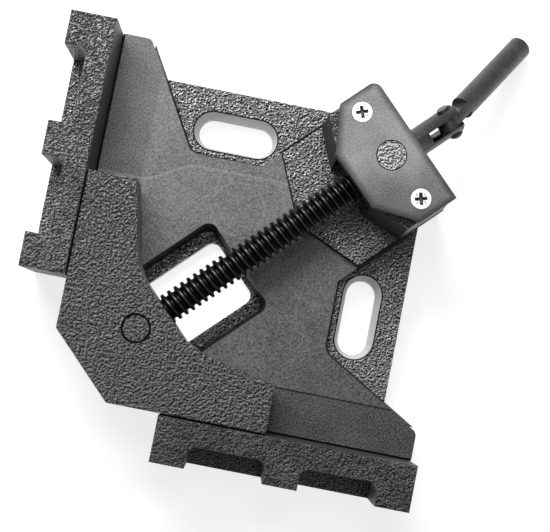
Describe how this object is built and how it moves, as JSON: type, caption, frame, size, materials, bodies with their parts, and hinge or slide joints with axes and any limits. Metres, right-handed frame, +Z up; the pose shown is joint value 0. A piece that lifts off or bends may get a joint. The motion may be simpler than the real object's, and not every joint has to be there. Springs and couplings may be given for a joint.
{
  "type": "corner welding vise",
  "caption": "Corner welding vise with two fences at a right angle, a square jaw on a diagonal lead screw and a folding handle.",
  "frame": {"origin": "inside corner where the planes of the two fence faces meet, on the bench plane under the sole", "axes": "+X along one fence, +Y along the other, +Z up from the bench; the screw runs along the diagonal between +X and +Y"},
  "size_m": [0.1811, 0.1953, 0.0585],
  "materials": {
    "hammertone": "black hammertone paint over cast iron, floor and seats machined",
    "jaw_paint": "black hammertone paint over cast iron",
    "machined": "satin dark grey machined plate",
    "zinc": "bright zinc plate",
    "nut_steel": "painted steel",
    "black_steel": "black oxide",
    "handle_steel": "black oxide, satin",
    "washer_steel": "plain steel"
  },
  "bodies": {
    "base": {"base_casting": "hammertone", "cover_plate": "machined", "cover_screw_left": "zinc", "cover_screw_right": "zinc"},
    "nut": {"swivel_nut": "nut_steel"},
    "carriage": {"jaw_barrel": "nut_steel"},
    "screw": {"lead_screw": "black_steel", "thrust_washer": "washer_steel", "retaining_ring": "washer_steel", "handle_rivet": "handle_steel"},
    "jaw": {"swing_jaw": "jaw_paint"},
    "handle": {"handle_bar": "handle_steel"}
  },
  "joints": [
    {"name": "nut_swivel", "type": "hinge", "parent": "base", "child": "nut", "pos_m": [0.11194, 0.11194, 0.031], "axis": [0, 0, 1], "range_deg": [-0.15, 0.15]},
    {"name": "screw_feed", "type": "slide", "parent": "nut", "child": "carriage", "axis": [0.7071, 0.7071, 0], "range_m": [0, 0.069]},
    {"name": "screw_turn", "type": "hinge", "parent": "carriage", "child": "screw", "pos_m": [0.07071, 0.07071, 0.031], "axis": [0.7071, 0.7071, 0], "range_deg": [0, 8280]},
    {"name": "jaw_swivel", "type": "hinge", "parent": "carriage", "child": "jaw", "pos_m": [0.0303, 0.0303, 0.031], "axis": [0, 0, 1], "range_deg": [-0.15, 0.15]},
    {"name": "handle_fold", "type": "hinge", "parent": "screw", "child": "handle", "pos_m": [0.13357, 0.13357, 0.031], "axis": [-0.6533, 0.6533, 0.3827], "range_deg": [-121, 59]}
  ],
  "couplings": [
    {"joint": "screw_turn", "follows": "screw_feed", "rad_per_m": 2094.4}
  ]
}
